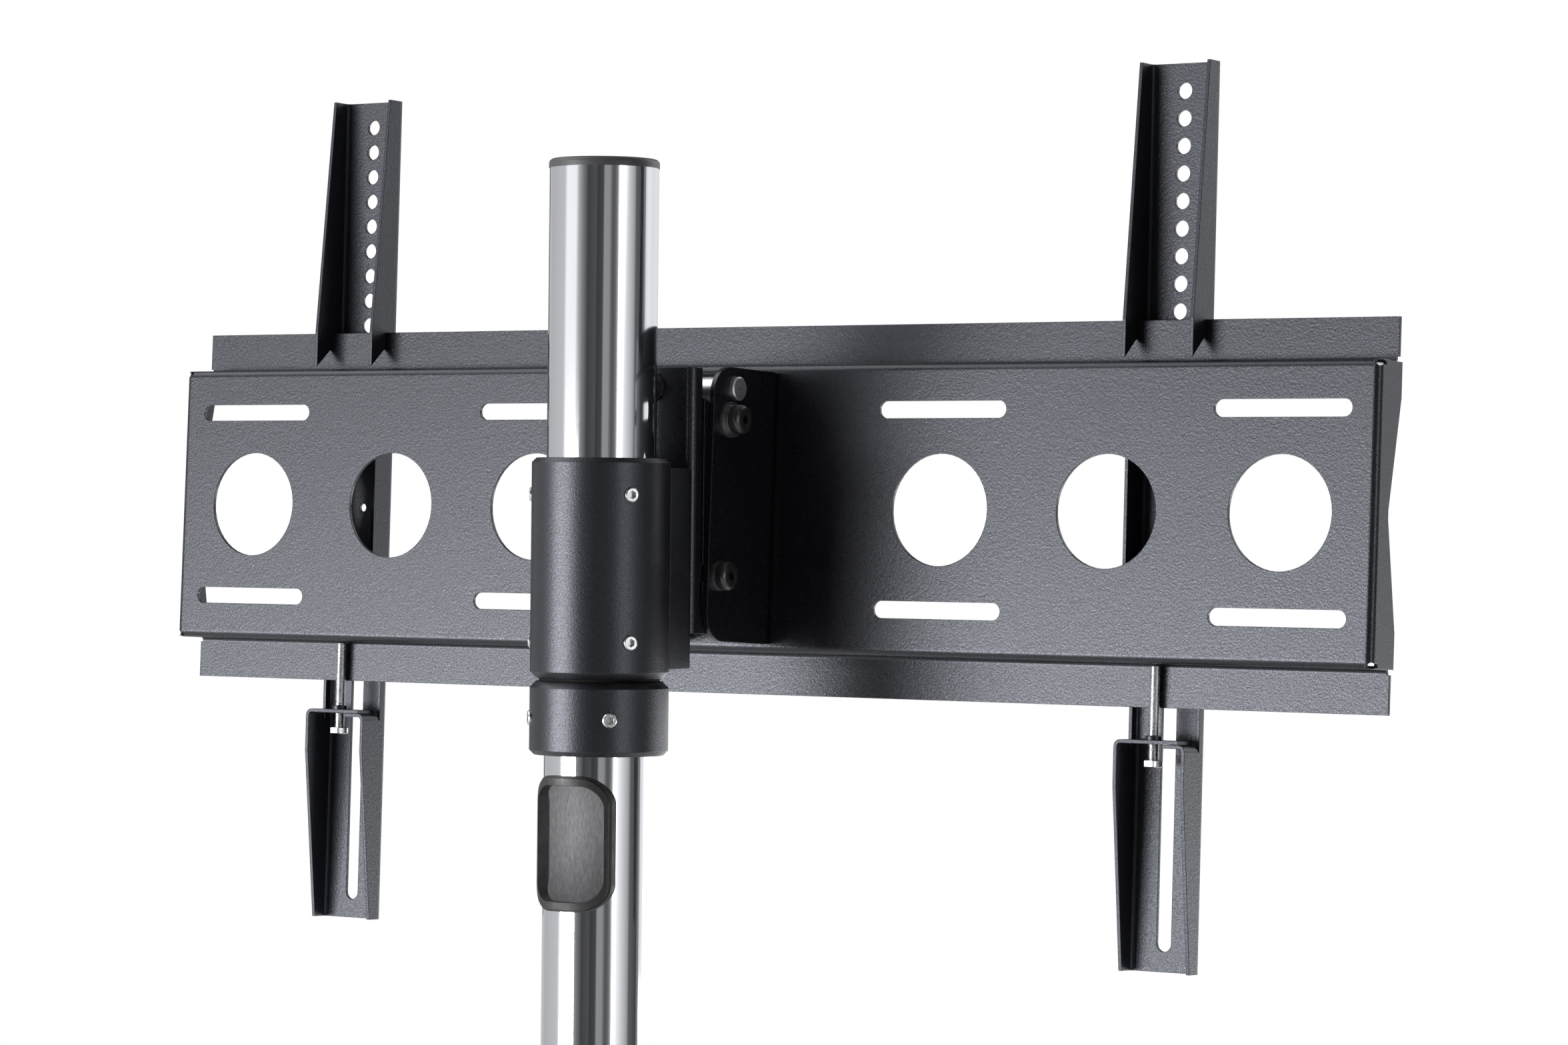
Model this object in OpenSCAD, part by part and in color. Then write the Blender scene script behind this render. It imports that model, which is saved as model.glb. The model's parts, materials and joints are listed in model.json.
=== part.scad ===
// Floor stand with a tilting, swivelling screen mount.
// Millimetres. +Z up, the screen side is -Y and the back is +Y.
// The origin is on the floor, on the axis of the round pole.

/* [Base] */
// Width of the floor plate, side to side
base_w = 700; // [500:10:900]
// Depth of the floor plate, front to back
base_d = 500; // [400:10:700]
// Thickness of the floor plate
base_t = 8; // [6:1:14]
// Corner radius of the floor plate
base_corner_r = 40; // [10:1:80]
// Diameter of one rubber foot
foot_d = 50; // [30:1:70]
// Height of one rubber foot
foot_h = 8; // [5:1:15]
// Distance of a foot's centre from the edges of the floor plate
foot_inset = 60; // [45:1:100]
// Diameter of the disc at the foot of the pole
disc_d = 160; // [150:1:220]
// Thickness of the disc at the foot of the pole
disc_t = 8; // [6:1:15]
// Thread size of the bolts through the disc
disc_bolt_d = 10; // [8:1:12]

/* [Pole] */
// Height of the pole's top above the floor
pole_top_z = 1800; // [1500:10:2100]
// Outer diameter of the pole
pole_d = 60; // [50:1:70]
// Wall of the pole
pole_wall = 2; // [1.5:0.5:3]
// Height of the plastic cap above the pole
cap_h = 5; // [3:0.5:8]
// Width of a cable opening, straight across
cable_w = 44; // [24:1:44]
// Height of a cable opening
cable_h = 63; // [40:1:80]
// Rim of the upper cable opening below the stop ring
cable_gap = 10.8; // [10.6:0.1:150]
// Centre of the lower cable opening above the floor
cable_rise = 150; // [100:1:400]
// Width of the grommet's rim above and below a cable opening
grommet_rim = 5.2; // [3:0.1:6]
// Width of the grommet's rim beside a cable opening, straight across
grommet_side = 2.8; // [2.4:0.1:4]
// How far the grommet's rim stands proud of the pole
grommet_proud = 3.3; // [1.5:0.1:4]

/* [Sleeve and stop ring] */
// Underside of the stop ring below the pole's top
ring_drop = 320; // [200:1:400]
// Height of the stop ring
ring_h = 40; // [25:1:60]
// Height of the sleeve
sleeve_h = 120; // [90:1:160]
// Wall of the sleeve and of the stop ring
sleeve_wall = 7.9; // [6:0.1:10]
// Chamfer on the sleeve's top and on the stop ring's underside
sleeve_chamfer = 2.5; // [1:0.1:4]
// Chamfer where the sleeve and the stop ring meet
joint_chamfer = 3.4; // [1:0.1:4]
// Thickness of the glide washer under the sleeve
glide_t = 1.8; // [0.5:0.1:3]
// Thread size of the set screws
set_screw_d = 8; // [5:1:10]
// Angle of the sleeve's set screws from straight back
sleeve_screw_angle = 62; // [40:1:75]
// Angle of the stop ring's set screws from straight back
ring_screw_angle = 45; // [30:1:60]

/* [Sleeve bracket and tilt channel] */
// Width of the welded sleeve bracket
bracket_w = 60; // [50:1:66]
// How far the bracket stands out in front of the sleeve
bracket_reach = 9; // [8:0.5:20]
// Sheet of the sleeve bracket
bracket_t = 4; // [3:0.5:5]
// Height of the tilt channel
channel_h = 147; // [140:1:170]
// Sheet of the tilt channel and of the tilt bracket
tilt_t = 3; // [2:0.5:4]
// Top of the tilt channel above the pivot
channel_rise = 11; // [9:0.5:14]
// Height of the pivot above the sleeve's top
pivot_rise = 40; // [35:1:50]
// Pivot in front of the tilt channel's back face
pivot_reach = 37; // [34:0.5:40]
// Diameter of the pivot rod
rod_d = 13.4; // [10:0.1:14]
// How far the pivot rod stands out of each ear
rod_proud = 3.1; // [1:0.1:6]

/* [Tilt bracket] */
// Width over the two ears
ear_w = 61; // [56:0.5:70]
// Depth of an ear behind the wide plate
ear_depth = 63; // [60:0.5:70]
// Height of an ear
ear_h = 153; // [150:1:180]
// Radius of an ear's two back corners
ear_corner_r = 16; // [6:0.5:18]
// Pivot behind the wide plate's back face
pivot_back = 42.5; // [41:0.5:46]
// Pivot above the middle of the wide plate
pivot_up = 64.5; // [60:0.5:66]
// Thread size of the tilt bolts
tilt_bolt_d = 10; // [8:1:10]
// Tilt of the plate from upright in the stored pose, top forwards
tilt_rest = 2.5; // [0:0.5:5]
// Largest tilt, top forwards
tilt_down = 7; // [5:0.5:7]
// Largest tilt the other way
tilt_up = 5; // [2:0.5:5]

/* [Wide plate] */
// Length of the wide plate
plate_len = 820; // [760:1:1000]
// Height of the wide plate's web
web_h = 162.6; // [160:0.1:200]
// Sheet of the wide plate
plate_t = 2; // [1.5:0.1:3]
// Depth of the wide plate's flanges, back face to back of the lip
flange_d = 22.1; // [20:0.1:30]
// Height of a lip beyond the flange
lip_h = 23.6; // [15:0.1:30]
// Depth of an end flange at its corners
end_depth = 25; // [16:0.5:25]
// Depth of an end flange at its waist
end_waist = 14; // [10:0.5:16]
// Diameter of the round holes
round_d = 62.2; // [30:0.2:70]
// Spacing of the round holes
round_pitch = 106.3; // [90:0.1:110]
// First round hole from the middle of the plate
round_first = 140; // [120:1:145]
// Length of a slot, end to end
slot_len = 82.7; // [40:0.1:90]
// Width of a slot
slot_w = 9.6; // [6:0.1:12]
// Height of a slot above or below the middle of the plate
slot_z = 55.5; // [52:0.5:58]

/* [Screen arms] */
// Left arm's middle from the wide plate's left end, seen from behind
left_arm_inset = 116; // [30:1:250]
// Right arm's middle from the wide plate's right end, seen from behind
right_arm_inset = 140; // [30:1:250]
// Width of an arm
arm_w = 44; // [36:1:50]
// Sheet of an arm
arm_t = 2; // [1.5:0.1:2.5]
// Arm above the top edge of the upper lip
arm_rise = 140.5; // [100:0.5:180]
// Arm below the top edge of the upper lip
arm_drop = 352.5; // [330:0.5:420]
// Lean of a hanging arm against the plate
arm_lean = 0.8; // [0:0.1:1]
// Depth of an arm's flanges at its top end
arm_top_depth = 13.5; // [8:0.5:20]
// Depth of an arm at its hooks
hook_depth = 25; // [23:0.5:30]
// Depth of an arm at its folded tab
tab_depth = 23.4; // [22:0.1:28]
// Depth of an arm's flanges at its bottom end
arm_low_depth = 12; // [8:0.5:20]
// Diameter of the screen holes
hole_d = 9; // [5:0.5:10]
// Spacing of the screen holes
hole_pitch = 15; // [12:0.5:20]
// Number of screen holes above the middle
hole_count = 13; // [4:1:13]
// Folded tab below the top edge of the upper lip
tab_drop = 227; // [224:0.5:235]
// Thread size of the lock screw
lock_d = 6; // [5:1:6]
// Length of the lock screw under its head
lock_len = 51.5; // [44:0.5:60]

/* [Hidden] */
$fn = 96;

// Finishes
powder_black = "#2c2e34";
satin_black = "#26282c";
rubber_black = "#1b1c1e";
cap_grey = "#303234";
chrome = "#cfd2d6";
zinc = "#b9bcc0";
nylon = "#d9d9d4";

// One overrun for every cut
over = 5;
// Clearance of parts that slide or turn on each other
run_gap = 0.1;
// Gap between sheets that move past each other
sheet_gap = 0.4;
// Inside radius of a sheet bend
bend_in = 2;

// Hardware proportions, as shares of the thread size
hex_af_share = 1.7;
hex_head_share = 0.65;
nut_share = 0.8;
washer_od_share = 2;
washer_t_share = 0.2;
washer_split_share = 0.2;
washer_split_turn = 30;
dome_d_share = 1.65;
dome_edge_share = 0.48;
socket_af_share = 0.5;
socket_depth_share = 0.4;

// Floor plate and pole
pole_r = pole_d / 2;
pole_bore_r = pole_r - pole_wall;
plate_top_z = foot_h + base_t;
foot_taper = 4;
foot_round = 1.5;
base_edge = 1;
disc_edge = 1.5;
disc_bolt_r = (disc_d + pole_d) / 4 + disc_edge;
disc_bolts = 4;
cap_round = 2.5;
cap_plug_h = 15;
cap_plug_wall = 2.5;
cap_overhang = 0.3;
cable_corner = 12;
grommet_lining = 1.6;
grommet_back = 0.8;
grommet_shoulder = 0.9;
grommet_grip = 1.5;
grommet_step = 1.6;

// Sleeve and ring
sleeve_bore_r = pole_r + run_gap;
sleeve_r = sleeve_bore_r + sleeve_wall;
ring_z = pole_top_z - ring_drop;
upper_cable_z = ring_z - cable_gap - grommet_rim - cable_h / 2;
sleeve_z = ring_z + ring_h + glide_t;
sleeve_top_z = sleeve_z + sleeve_h;
set_screw_inset = 20;
set_screw_proud = 1.3;
set_screw_edge = 0.6;
glide_wall = 3;

// Bracket, channel and pivot
head_y = -sleeve_r - bracket_reach;
bracket_inset = 5;
bracket_h = sleeve_h - 2 * bracket_inset;
bracket_z = sleeve_z + bracket_inset;
pivot_y = head_y - pivot_reach;
pivot_z = sleeve_top_z + pivot_rise;
channel_w = ear_w - 2 * tilt_t - 2 * sheet_gap;
channel_top_z = pivot_z + channel_rise;
channel_low_z = channel_top_z - channel_h;
post_depth = 9.6;
lobe_r = rod_d / 2 + 4.8;
channel_front_r = 10;
channel_bolt_d = 8;
channel_bolt_x = 14;
channel_bolt_pitch = 69;
rod_screw_d = 8;
rod_screw_bite = 6;
rod_screw_head_h = 4.4;
tilt_head_h = 6.5;
tilt_washer_t = tilt_bolt_d * washer_t_share;
rod_edge = 0.7;
bracket_head_h = 3.5;
tilt_bend_r = tilt_t + bend_in;

// Tilt bolts, counted from the pivot in the plate's own frame
upper_bolt = [4.5, -17.5];
lower_bolt = [9.5, -104.5];
bracket_bolt_d = 8;
bracket_bolt_x = 12;
bracket_bolt_z = 45;

// Wide plate
plate_bend_r = plate_t + bend_in;
lip_top = web_h / 2 + lip_h;
lip_back_y = -flange_d;
lip_front_y = -flange_d - plate_t;
end_gap = 0.4;
end_flange_z = web_h / 2 - end_gap;
end_straight = 19;
end_inset = 0.5;
waist_flat = 5;
lip_inset = 1.3;
relief_r = 1.8;
relief_inset = 1.4;
relief_drop = 2;

// Arms
left_arm_x = plate_len / 2 - left_arm_inset;
right_arm_x = plate_len / 2 - right_arm_inset;
arm_bend_r = arm_t + bend_in;
arm_front_gap = 7.6;
arm_face_y = lip_front_y - arm_front_gap - arm_t;
lip_clear = 0.3;
lip_inner_d = arm_t + arm_front_gap - lip_clear;
lip_outer_d = arm_t + arm_front_gap + plate_t + lip_clear;
hook_root_z = run_gap + lip_outer_d * sin(arm_lean);
mid_depth = 18.7;
narrow_depth = 7.5;
hook_tip_drop = 20.5;
hook_root_drop = 9;
tab_taper_drop = 25;
tab_slit = 1.2;
tab_lap = 0.2;
tab_end_gap = 2;
low_tab_len = 14;
top_hole_inset = 15;
pin_hole_d = 5;
slot_top_drop = 150;
slot_end_inset = 11;
lock_from_face = 18.4;
weld_nut_wall = 1.5;
weld_nut_h = 2.2;
lock_tip_gap = 0.2;

// A quarter of a sheet bend, in the first quadrant about its centre
module quarter_bend(r, t) {
    intersection() {
        difference() {
            circle(r);
            circle(r - t);
        }
        square(r);
    }
}

// Section of a folded channel: web along X at y = 0, open towards +Y
module channel_section(w, d, t, r) {
    translate([-w / 2 + r, 0]) square([w - 2 * r, t]);
    for (s = [0, 1]) mirror([s, 0]) {
        translate([w / 2 - t, r]) square([t, d - r]);
        translate([w / 2 - r, r]) rotate(-90) quarter_bend(r, t);
    }
}

// Extrudes a drawing of Y and Z along X, centred on x = 0
module along_x(len) {
    translate([-len / 2, 0, 0]) rotate([90, 0, 90]) linear_extrude(len) children();
}

// Extrudes a drawing of X and Z from y = 0 back to y = len
module along_y(len) {
    translate([0, len, 0]) rotate([90, 0, 0]) linear_extrude(len) children();
}

// Rectangle with round corners, centred
module round_rect(w, h, r) {
    square([w - 2 * r, h], center = true);
    square([w, h - 2 * r], center = true);
    for (x = [-1, 1], y = [-1, 1]) translate([x * (w / 2 - r), y * (h / 2 - r)]) circle(r);
}

// Slot with round ends along X, centred
module slot_shape(len, w) {
    square([len - w, w], center = true);
    for (x = [-1, 1]) translate([x * (len - w) / 2, 0]) circle(w / 2);
}

// Ring with chamfered rims, standing on z = 0: low and high are the two chamfers
module chamfered_ring(r_in, r_out, h, low, high) {
    rotate_extrude()
        polygon([[r_in, 0], [r_out - low, 0], [r_out, low], [r_out, h - high], [r_out - high, h], [r_in, h]]);
}

module washer(r_in, r_out, t) {
    difference() {
        cylinder(r = r_out, h = t);
        translate([0, 0, -over]) cylinder(r = r_in, h = t + 2 * over);
    }
}

// Hexagonal prism by its width across flats
module hexagon(af, h) {
    cylinder(r = af / sqrt(3), h = h, $fn = 6);
}

// Hex bolt: the head stands on z = 0 and the shank hangs below it
module hex_bolt(d, len, head_h, af) {
    hexagon(af, head_h);
    translate([0, 0, -len]) cylinder(d = d, h = len);
}

module hex_nut(d, af, h) {
    difference() {
        hexagon(af, h);
        translate([0, 0, -over]) cylinder(d = d + 2 * run_gap, h = h + 2 * over);
    }
}

// Dome-headed bolt with a hexagon socket: head on z = 0, shank below
module dome_bolt(d, len, head_h) {
    head_r = d * dome_d_share / 2;
    edge = head_h * dome_edge_share;
    difference() {
        union() {
            rotate_extrude() {
                square([head_r, head_h - edge]);
                square([head_r - edge, head_h]);
                translate([head_r - edge, head_h - edge]) circle(edge);
            }
            translate([0, 0, -len]) cylinder(d = d, h = len);
        }
        translate([0, 0, head_h - d * socket_depth_share]) hexagon(d * socket_af_share, over);
    }
}

// Set screw lying along +X, its socket at the outer end
module set_screw(d, r_from, r_to) {
    rotate([0, 90, 0]) difference() {
        rotate_extrude() polygon([[0, r_from], [d / 2, r_from], [d / 2, r_to - set_screw_edge],
            [d / 2 - set_screw_edge, r_to], [0, r_to]]);
        translate([0, 0, r_to - d * socket_depth_share]) hexagon(d * socket_af_share, over);
    }
}

// Places its child on each side of straight back, facing outwards
module each_side(angle) {
    for (a = [90 - angle, 90 + angle]) rotate(a) children();
}

// Places its child at the stored tilt, in the plate's own frame.
// There y = 0 is the wide plate's back face and z = 0 its middle.
module on_plate() {
    translate([0, pivot_y, pivot_z]) rotate([tilt_rest, 0, 0]) translate([0, -pivot_back, -pivot_up]) children();
}

// Places its child in an arm's own frame: z = 0 at the lip's top edge,
// y = 0 on the face that carries the screen, the pole towards +Y.
module on_arm(x) {
    on_plate() translate([x, arm_face_y, lip_top]) rotate([-arm_lean, 0, 0]) children();
}

// Places its child at a tilt bolt on both sides, lying along +X from the mirror plane
module at_tilt_bolts(b) {
    for (s = [0, 1])
        on_plate() mirror([s, 0, 0]) translate([0, pivot_back + b[0], pivot_up + b[1]]) rotate([0, 90, 0]) children();
}

module base_plate() {
    color(powder_black) translate([0, 0, foot_h]) difference() {
        union() {
            linear_extrude(base_t - base_edge) round_rect(base_w, base_d, base_corner_r);
            linear_extrude(base_t) round_rect(base_w - 2 * base_edge, base_d - 2 * base_edge, base_corner_r - base_edge);
        }
        for (i = [0:disc_bolts - 1]) rotate(45 + i * 360 / disc_bolts) translate([disc_bolt_r, 0, -over])
            cylinder(d = disc_bolt_d + 2 * run_gap, h = base_t + 2 * over);
    }
}

module base_feet() {
    color(rubber_black) for (x = [-1, 1], y = [-1, 1])
        translate([x * (base_w / 2 - foot_inset), y * (base_d / 2 - foot_inset), 0]) rotate_extrude()
            polygon([[0, 0], [foot_d / 2 - foot_round, 0], [foot_d / 2, foot_round],
                [foot_d / 2 - foot_taper, foot_h], [0, foot_h]]);
}

module pole_flange() {
    color(powder_black) translate([0, 0, plate_top_z]) difference() {
        chamfered_ring(pole_r + run_gap, disc_d / 2, disc_t, disc_edge, disc_edge);
        for (i = [0:disc_bolts - 1]) rotate(45 + i * 360 / disc_bolts) translate([disc_bolt_r, 0, -over])
            cylinder(d = disc_bolt_d + 2 * run_gap, h = disc_t + 2 * over);
    }
}

module flange_washers() {
    color(zinc) for (i = [0:disc_bolts - 1]) rotate(45 + i * 360 / disc_bolts)
        translate([disc_bolt_r, 0, plate_top_z + disc_t])
            washer(disc_bolt_d / 2 + run_gap, disc_bolt_d * washer_od_share / 2, disc_bolt_d * washer_t_share);
}

module flange_bolts() {
    washer_t = disc_bolt_d * washer_t_share;
    color(zinc) for (i = [0:disc_bolts - 1]) rotate(45 + i * 360 / disc_bolts)
        translate([disc_bolt_r, 0, plate_top_z + disc_t + washer_t])
            hex_bolt(disc_bolt_d, washer_t + disc_t + base_t, disc_bolt_d * hex_head_share, disc_bolt_d * hex_af_share);
}

// Cutter for a cable opening at height z, through the back wall only
module cable_cut(z, side, rise) {
    translate([0, 0, z]) along_y(pole_d) round_rect(cable_w + 2 * side, cable_h + 2 * rise, cable_corner + side);
}

module pole() {
    hole_grow = grommet_lining + run_gap;
    color(chrome) difference() {
        translate([0, 0, plate_top_z]) cylinder(r = pole_r, h = pole_top_z - plate_top_z);
        translate([0, 0, plate_top_z - over]) cylinder(r = pole_bore_r, h = pole_top_z - plate_top_z + 2 * over);
        cable_cut(upper_cable_z, hole_grow, hole_grow);
        cable_cut(cable_rise, hole_grow, hole_grow);
    }
}

module pole_cap() {
    cap_r = pole_r + cap_overhang;
    plug_r = pole_bore_r - run_gap;
    color(cap_grey) translate([0, 0, pole_top_z]) rotate_extrude() difference() {
        union() {
            square([cap_r, cap_h - cap_round]);
            square([cap_r - cap_round, cap_h]);
            translate([cap_r - cap_round, cap_h - cap_round]) circle(cap_round);
            translate([0, -cap_plug_h]) square([plug_r, cap_plug_h]);
        }
        translate([0, -cap_plug_h]) square([plug_r - cap_plug_wall, cap_plug_h]);
    }
}

// A length of ring about the pole, as tall as a grommet needs
module pole_shell(z, r_in, r_out) {
    translate([0, 0, z - cable_h]) difference() {
        cylinder(r = r_out, h = 2 * cable_h);
        translate([0, 0, -over]) cylinder(r = r_in, h = 2 * (cable_h + over));
    }
}

// Moulded rubber ring clipped into a cable opening: rim, rounded crown, lining and back lip
module grommet(z) {
    grip = grommet_lining + grommet_grip;
    difference() {
        union() {
            intersection() {
                pole_shell(z, pole_r + run_gap, pole_r + grommet_proud - grommet_shoulder);
                cable_cut(z, grommet_side, grommet_rim);
            }
            intersection() {
                pole_shell(z, pole_r + run_gap, pole_r + grommet_proud);
                cable_cut(z, grommet_side - grommet_shoulder, grommet_rim - grommet_shoulder);
            }
            intersection() {
                pole_shell(z, pole_bore_r - grommet_back, pole_r + grommet_step);
                cable_cut(z, grommet_lining, grommet_lining);
            }
            intersection() {
                pole_shell(z, pole_bore_r - grommet_back, pole_bore_r - run_gap);
                cable_cut(z, grip, grip);
            }
        }
        cable_cut(z, 0, 0);
    }
}

module upper_grommet() {
    color(rubber_black) grommet(upper_cable_z);
}

module lower_grommet() {
    color(rubber_black) grommet(cable_rise);
}

module stop_ring() {
    color(satin_black) difference() {
        translate([0, 0, ring_z]) chamfered_ring(sleeve_bore_r, sleeve_r, ring_h, sleeve_chamfer, joint_chamfer);
        each_side(ring_screw_angle) translate([0, 0, ring_z + ring_h / 2])
            rotate([0, 90, 0]) cylinder(d = set_screw_d + 2 * run_gap, h = sleeve_r + over);
    }
}

module ring_set_screws() {
    color(zinc) each_side(ring_screw_angle)
        translate([0, 0, ring_z + ring_h / 2]) set_screw(set_screw_d, sleeve_bore_r, sleeve_r + set_screw_proud);
}

module glide_washer() {
    color(nylon) translate([0, 0, ring_z + ring_h]) washer(sleeve_bore_r, sleeve_bore_r + glide_wall, glide_t);
}

module sleeve() {
    color(satin_black) difference() {
        translate([0, 0, sleeve_z]) chamfered_ring(sleeve_bore_r, sleeve_r, sleeve_h, joint_chamfer, sleeve_chamfer);
        for (z = [set_screw_inset, sleeve_h - set_screw_inset]) each_side(sleeve_screw_angle)
            translate([0, 0, sleeve_z + z]) rotate([0, 90, 0])
                cylinder(d = set_screw_d + 2 * run_gap, h = sleeve_r + over);
    }
}

module sleeve_set_screws() {
    color(zinc) for (z = [set_screw_inset, sleeve_h - set_screw_inset]) each_side(sleeve_screw_angle)
        translate([0, 0, sleeve_z + z]) set_screw(set_screw_d, sleeve_bore_r + run_gap, sleeve_r + set_screw_proud);
}

// Places its child at each bolt that joins the tilt channel to the bracket
module at_channel_bolts() {
    middle_z = (channel_low_z + bracket_z + bracket_h) / 2;
    for (x = [-1, 1], z = [-1, 1])
        translate([x * channel_bolt_x, head_y - tilt_t, middle_z + z * channel_bolt_pitch / 2]) rotate([90, 0, 0]) children();
}

module sleeve_bracket() {
    bend_r = bracket_t + bend_in;
    color(powder_black) difference() {
        translate([0, head_y, bracket_z]) linear_extrude(bracket_h)
            channel_section(bracket_w, -head_y, bracket_t, bend_r);
        translate([0, 0, bracket_z - over]) cylinder(r = sleeve_r, h = bracket_h + 2 * over);
        translate([-bracket_w, -sleeve_r * sin(acos(bracket_w / 2 / sleeve_r)) + over, bracket_z - over])
            cube([2 * bracket_w, sleeve_r, bracket_h + 2 * over]);
        at_channel_bolts() translate([0, 0, -bracket_reach - over])
            cylinder(d = channel_bolt_d + 2 * run_gap, h = bracket_reach + 2 * over);
    }
}

// Outline of the tilt channel's side, about the pivot: Y back, Z up
module channel_side() {
    low = channel_low_z - pivot_z;
    valley_r = (pivot_reach - post_depth - lobe_r) / 2;
    difference() {
        union() {
            translate([pivot_reach - post_depth, low]) square([post_depth, channel_h]);
            translate([-lobe_r, low + channel_front_r]) square([pivot_reach, -low - channel_front_r]);
            translate([channel_front_r - lobe_r, low]) square([pivot_reach + lobe_r - channel_front_r, channel_front_r]);
            translate([channel_front_r - lobe_r, low + channel_front_r]) circle(channel_front_r);
            circle(lobe_r);
        }
        translate([lobe_r + valley_r, 0]) circle(valley_r);
        translate([lobe_r, 0]) square([2 * valley_r, channel_h]);
    }
}

// Curved slot about the pivot for a bolt at p, over the whole tilt range
module arc_slot(p, d) {
    r = norm(p);
    start = atan2(p[1], p[0]);
    rotate([90, 0, 90]) {
        rotate(start - tilt_up) rotate_extrude(angle = tilt_down + tilt_up)
            translate([r - d / 2, -ear_w]) square([d, 2 * ear_w]);
        for (a = [-tilt_up, tilt_down]) rotate(start + a) translate([r, 0, -ear_w]) cylinder(d = d, h = 2 * ear_w);
    }
}

module tilt_channel() {
    slot_d = tilt_bolt_d + 2 * sheet_gap;
    color(powder_black) difference() {
        intersection() {
            translate([0, head_y, channel_low_z]) mirror([0, 1, 0]) linear_extrude(channel_h)
                channel_section(channel_w, pivot_reach + lobe_r, tilt_t, tilt_bend_r);
            translate([0, pivot_y, pivot_z]) along_x(channel_w) channel_side();
        }
        translate([0, pivot_y, pivot_z]) {
            rotate([0, 90, 0]) cylinder(r = rod_d / 2 + run_gap / 2, h = 2 * channel_w, center = true);
            arc_slot(upper_bolt, slot_d);
            arc_slot(lower_bolt, slot_d);
            rotate([-90, 0, 0]) cylinder(d = rod_screw_d + 2 * run_gap, h = pivot_reach + over);
        }
        at_channel_bolts() translate([0, 0, -bracket_reach - over])
            cylinder(d = channel_bolt_d + 2 * run_gap, h = bracket_reach + 2 * over);
    }
}

module channel_bolts() {
    color(zinc) at_channel_bolts()
        hex_bolt(channel_bolt_d, tilt_t + bracket_t, channel_bolt_d * hex_head_share, channel_bolt_d * hex_af_share);
}

module pivot_rod() {
    rod_end = ear_w / 2 + rod_proud;
    color(zinc) translate([0, pivot_y, pivot_z]) difference() {
        rotate([0, 90, 0]) rotate_extrude() polygon([[0, -rod_end], [rod_d / 2 - rod_edge, -rod_end],
            [rod_d / 2, rod_edge - rod_end], [rod_d / 2, rod_end - rod_edge], [rod_d / 2 - rod_edge, rod_end], [0, rod_end]]);
        translate([0, rod_d / 2 - rod_screw_bite, 0]) rotate([-90, 0, 0])
            cylinder(d = rod_screw_d + 2 * run_gap, h = rod_d);
    }
}

module rod_screw_washer() {
    color(powder_black) translate([0, head_y, pivot_z]) rotate([-90, 0, 0])
        washer(rod_screw_d / 2 + run_gap, rod_screw_d * washer_od_share / 2, rod_screw_d * washer_t_share);
}

module rod_screw() {
    under_head = rod_screw_d * washer_t_share;
    color(powder_black) translate([0, head_y + under_head, pivot_z]) rotate([-90, 0, 0])
        dome_bolt(rod_screw_d, under_head + pivot_reach - rod_d / 2 + rod_screw_bite - run_gap, rod_screw_head_h);
}

// Section of the wide plate: web, two flanges and two lips, in Y and Z
module hat_section() {
    half = web_h / 2;
    r = plate_bend_r;
    translate([-plate_t, -half + r]) square([plate_t, web_h - 2 * r]);
    for (s = [0, 1]) mirror([0, s]) {
        translate([-r, half - r]) quarter_bend(r, plate_t);
        translate([lip_front_y + r, half - plate_t]) square([-lip_front_y - 2 * r, plate_t]);
        translate([lip_front_y + r, half - plate_t + r]) rotate(180) quarter_bend(r, plate_t);
        translate([lip_front_y, half - plate_t + r]) square([plate_t, lip_h + plate_t - r]);
    }
}

// End flange outline with a waist, in Y and Z
module end_outline() {
    r = plate_bend_r;
    polygon([[-r, end_flange_z], [-end_depth, end_flange_z], [-end_depth, end_flange_z - end_straight],
        [-end_waist, waist_flat / 2], [-end_waist, -waist_flat / 2],
        [-end_depth, end_straight - end_flange_z], [-end_depth, -end_flange_z], [-r, -end_flange_z]]);
}

module wide_plate() {
    r = plate_bend_r;
    end_x = plate_len / 2 - end_inset;
    relief_z = web_h / 2 - relief_drop;
    notch_h = 2 * (plate_t + end_gap);
    color(powder_black) on_plate() {
        difference() {
            along_x(plate_len - 2 * lip_inset) hat_section();
            for (s = [0, 1]) mirror([s, 0, 0]) {
                translate([end_x - r, -r, -end_flange_z]) cube([r + over, r + over, 2 * end_flange_z]);
                for (z = [-1, 1]) translate([end_x - plate_t - end_gap, -end_depth - end_gap, z * web_h / 2 - notch_h / 2])
                    cube([over, end_depth + over, notch_h]);
                for (z = [-1, 1]) translate([end_x - relief_inset, -over - plate_t, z * relief_z])
                    along_y(2 * over) circle(relief_r);
                for (z = [-1, 1]) translate([0, -over, z * slot_z]) along_y(2 * over) {
                    translate([round_first, 0]) slot_shape(slot_len, slot_w);
                    translate([round_first + 2 * round_pitch, 0]) slot_shape(slot_len, slot_w);
                }
                for (i = [0:2]) translate([round_first + i * round_pitch, -over, 0]) along_y(2 * over) circle(d = round_d);
                for (z = [-1, 1]) translate([bracket_bolt_x, -over, z * bracket_bolt_z])
                    along_y(2 * over) circle(d = bracket_bolt_d + 2 * run_gap);
            }
        }
        for (s = [0, 1]) mirror([s, 0, 0]) difference() {
            union() {
                translate([end_x - plate_t / 2, 0, 0]) along_x(plate_t) end_outline();
                translate([end_x - r, -r, -end_flange_z]) linear_extrude(2 * end_flange_z) quarter_bend(r, plate_t);
            }
            for (z = [-1, 1]) translate([end_x - relief_inset, -over - plate_t, z * relief_z])
                along_y(2 * over) circle(relief_r);
        }
    }
}

// Side outline of an ear: square at the plate, round at the back corners
module ear_outline() {
    half = ear_h / 2;
    r = ear_corner_r;
    translate([0, -half]) square([ear_depth - r, ear_h]);
    translate([0, -half + r]) square([ear_depth, ear_h - 2 * r]);
    for (s = [-1, 1]) translate([ear_depth - r, s * (half - r)]) circle(r);
}

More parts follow.
